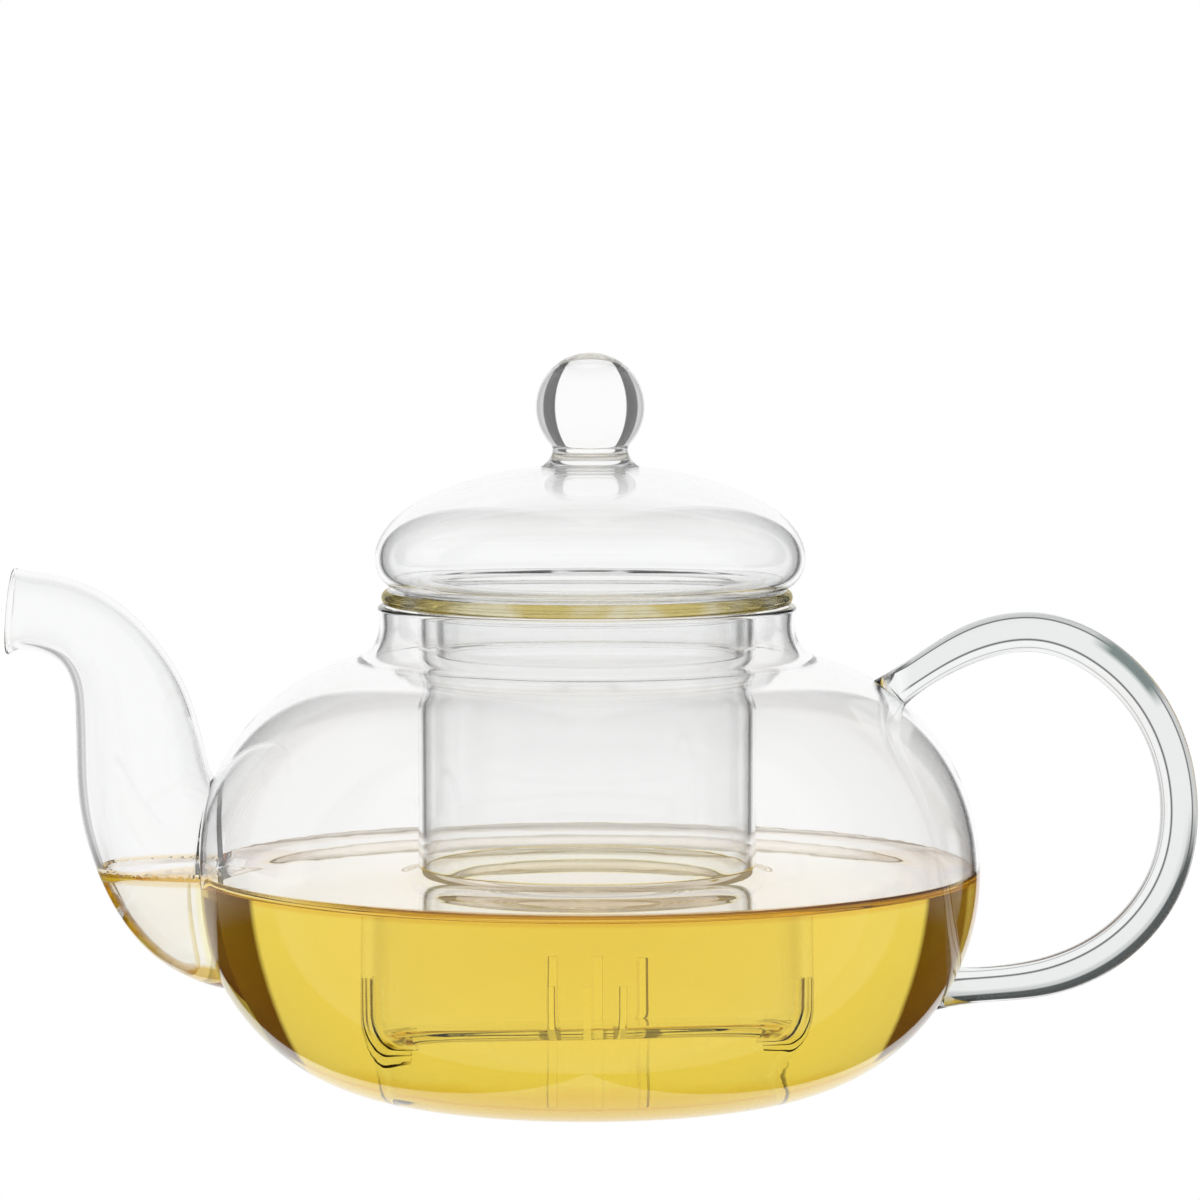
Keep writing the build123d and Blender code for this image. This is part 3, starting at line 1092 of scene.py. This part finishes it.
def make_shell():
    """Round studio that only the glass sees: a white panel behind the pot, dark flags beside it, grey beyond.

    The handle and the spout are shown their own colours, picked by where a ray last left them.
    """
    bpy.ops.mesh.primitive_uv_sphere_add(
        segments=64, ring_count=32, radius=SHELL_R, location=(0, 0, SHELL_Z)
    )
    shell = bpy.context.object
    shell.name = "studio_shell"
    shell.data.shade_smooth()
    material, tree = empty_material("studio_shell")
    place = own_place(tree)
    seen_from = parts(tree, in_space(tree, place, "WORLD", "CAMERA"))
    turn = maths(tree, "DEGREES", maths(tree, "ARCTAN2", seen_from["X"], seen_from["Z"]))
    lift = maths(tree, "MULTIPLY", seen_from["Y"], 1 / SHELL_R)
    start = ray_start(tree, place)
    beside = beside_pot(tree, start)
    over_tea = share_over(tree, parts(tree, start)["Z"], *SHELL_TEA_EDGE)
    at_spout = maths(tree, "MULTIPLY", share_over(tree, parts(tree, start)["X"], *SPOUT_EDGE), over_tea)

    low = ring_colours(tree, turn, LOW_FLAGS)
    brown = ring_colours(tree, turn, TEA_FLAGS)
    through_tea = tinted(tree, share_over(tree, lift, *LOW_EDGE), low, brown)
    colour = tinted(tree, over_tea, through_tea, ring_colours(tree, turn, HIGH_FLAGS))
    colour = tinted(tree, at_spout, colour, ring_colours(tree, turn, SPOUT_FLAGS))
    colour = tinted(tree, beside, colour, handle_colours(tree, start))

    dim = share_over(tree, lift, *DIM_EDGE, To_Min=1.0, To_Max=DIM)
    glow = node(tree, "ShaderNodeEmission", Color=colour, Strength=maths(tree, "MAXIMUM", dim, beside))
    clear = node(tree, "ShaderNodeBsdfTransparent")
    surface = mixed(tree, seen_by_camera(tree), glow.outputs[0], clear.outputs[0])
    node(tree, "ShaderNodeOutputMaterial", Surface=surface)
    shell.data.materials.append(material)


def to_camera(tree):
    """The way from the scene towards the camera."""
    return in_space(tree, (0.0, 0.0, 1.0), "CAMERA", "WORLD")


def ray_start(tree, place):
    """Where a ray to the shell crossed the upright plane through the pot's axis that faces the camera."""
    facing = to_camera(tree)
    back = geometry(tree, "Incoming")
    out, along = (arrows(tree, "DOT_PRODUCT", ray, facing) for ray in (place, back))
    return arrows(tree, "SUBTRACT", place, arrows(tree, "SCALE", back, maths(tree, "DIVIDE", out, along)))


def beside_pot(tree, start):
    """One where a ray left the handle where it stands clear of the pot, after the two walls of its rod."""
    place = parts(tree, start)
    x, z = place["X"], place["Z"]
    wide = share_over(tree, x, *WIDE_EDGE)
    over = maths(tree, "MULTIPLY", share_over(tree, x, *OVER_EDGE), share_over(tree, z, *ABOVE_EDGE))
    low_line = maths(tree, "SUBTRACT", x, maths(tree, "MULTIPLY", z, UNDER_SLOPE))
    under = share_over(tree, low_line, *UNDER_EDGE)
    reach = arrows(tree, "LENGTH", arrows(tree, "SUBTRACT", start, LOOP_CENTRE))
    walls = node(tree, "ShaderNodeLightPath").outputs["Transmission Depth"]
    in_loop = between(tree, reach, *LOOP_REACH, 0.5 * MM)
    near = maths(tree, "MULTIPLY", in_loop, maths(tree, "COMPARE", walls, ROD_WALLS))
    return maths(tree, "MULTIPLY", near, maths(tree, "MAXIMUM", maths(tree, "MAXIMUM", wide, under), over))


def handle_colours(tree, start):
    """What the handle sees against a ray's turn from the straight view, inwards or outwards of its loop."""
    ahead = arrows(tree, "SCALE", to_camera(tree), CAMERA_AWAY)
    straight_on = arrows(tree, "NORMALIZE", arrows(tree, "SUBTRACT", arrows(tree, "ADD", start, ahead), AIM))
    travel = arrows(tree, "SCALE", geometry(tree, "Incoming"), -1.0)
    bend = arrows(tree, "SUBTRACT", travel, straight_on)
    spoke = arrows(tree, "SUBTRACT", start, LOOP_CENTRE)
    spoke_parts = parts(tree, spoke)
    side = maths(tree, "SIGN", arrows(tree, "DOT_PRODUCT", spoke, bend))
    polar = maths(tree, "DEGREES", maths(tree, "ARCCOSINE", arrows(tree, "DOT_PRODUCT", travel, straight_on)))
    turn = maths(tree, "MULTIPLY", side, polar)
    thin, broad = (ring_colours(tree, turn, stops) for stops in (HANDLE_THIN, HANDLE_BROAD))
    seen = tinted(tree, share_over(tree, parts(tree, bend)["Z"], *BROAD_RISE), thin, broad)
    round_loop = maths(tree, "DEGREES", maths(tree, "ARCTAN2", spoke_parts["Z"], spoke_parts["X"]))
    at_patch = between(tree, round_loop, *PATCH_ROUND)
    patch = maths(tree, "MULTIPLY", at_patch, between(tree, turn, *PATCH_TURN))
    return tinted(tree, patch, seen, PATCH)


def ring_colours(tree, turn, stops):
    """Colour against the turn from the camera's axis in degrees."""
    place = node(tree, "ShaderNodeMapRange", Value=turn, From_Min=-180.0, From_Max=180.0)
    ramp = tree.nodes.new("ShaderNodeValToRGB")
    tree.links.new(place.outputs[0], ramp.inputs[0])
    elements = ramp.color_ramp.elements
    while len(elements) < len(stops):
        elements.new(0.5)
    for element, (angle, colour) in zip(elements, stops):
        element.position = angle / 360 + 0.5
        element.color = (*colour, 1.0)
    return ramp.outputs[0]


def make_world():
    """White for the camera everywhere behind the pot."""
    world = bpy.data.worlds.new("studio")
    bpy.context.scene.world = world
    world.use_nodes = True
    tree = world.node_tree
    tree.nodes.clear()
    background = node(tree, "ShaderNodeBackground", Color=(1, 1, 1, 1), Strength=1.0)
    node(tree, "ShaderNodeOutputWorld", Surface=background.outputs[0])


def make_camera():
    camera = bpy.data.cameras.new("camera")
    camera.lens = CAMERA_LENS
    camera.sensor_width = 36.0
    holder = bpy.data.objects.new("camera", camera)
    bpy.context.scene.collection.objects.link(holder)
    holder.location = (0.0, -CAMERA_AWAY, CAMERA_HEIGHT)
    holder.rotation_euler = (math.radians(90 - CAMERA_PITCH), 0.0, math.radians(CAMERA_YAW))
    camera.clip_start = 0.05
    camera.clip_end = 20.0
    bpy.context.scene.camera = holder


def render_habits():
    """Enough bounces for many glass walls in a row, and whites kept white."""
    scene = bpy.context.scene
    scene.view_settings.view_transform = "Standard"
    scene.cycles.max_bounces = 64
    scene.cycles.transmission_bounces = 64
    scene.cycles.glossy_bounces = 16
    scene.cycles.transparent_max_bounces = 64


pot_body = make_pot_body(glass_set("pot_glass", CLEAR, root=True, stain=POT_PAINTED_TEA_LIGHT))
spout = make_spout(glass_set("spout_glass", CLEAR, bump=0.15, stain=SPOUT_PAINTED_TEA_LIGHT), pot_body)
handle = make_handle(glass_set("handle_glass", ROD_TINT, bump=0.1), pot_body)
infuser = make_infuser(glass_set("infuser_glass", CLEAR, bump=0.15, film=BASKET_TEA_LINE_LIGHT, band=FLANGE_BAND))
lid_dome, seat = make_lid_dome(glass_set("lid_glass", CLEAR))
lid_knob = make_lid_knob(glass_set("knob_glass", CLEAR, bump=0.05), seat)
pot_tea = make_pot_tea(tea_liquid("tea", TEA_ABSORPTION))
spout_tea = make_spout_tea(tea_liquid("tea_in_spout", SPOUT_TEA_ABSORPTION))

for piece in (pot_body, spout, handle, infuser):
    soften(piece, 40)

for piece, body, slot, nodes in (
    (pot_body, "pot", "pot_glass", ["pot_body"]),
    (spout, "pot", "spout_glass", ["spout"]),
    (handle, "pot", "handle_glass", ["handle"]),
    (infuser, "infuser", "infuser_glass", ["infuser"]),
    (lid_dome, "lid", "lid_glass", ["lid_dome"]),
    (lid_knob, "lid", "knob_glass", ["lid_knob"]),
    (pot_tea, "pot", "tea", ["tea"]),
    (spout_tea, "pot", "tea", []),
):
    finish_piece(piece, body, slot, *nodes)

make_floor()
make_shell()
make_world()
make_camera()
render_habits()
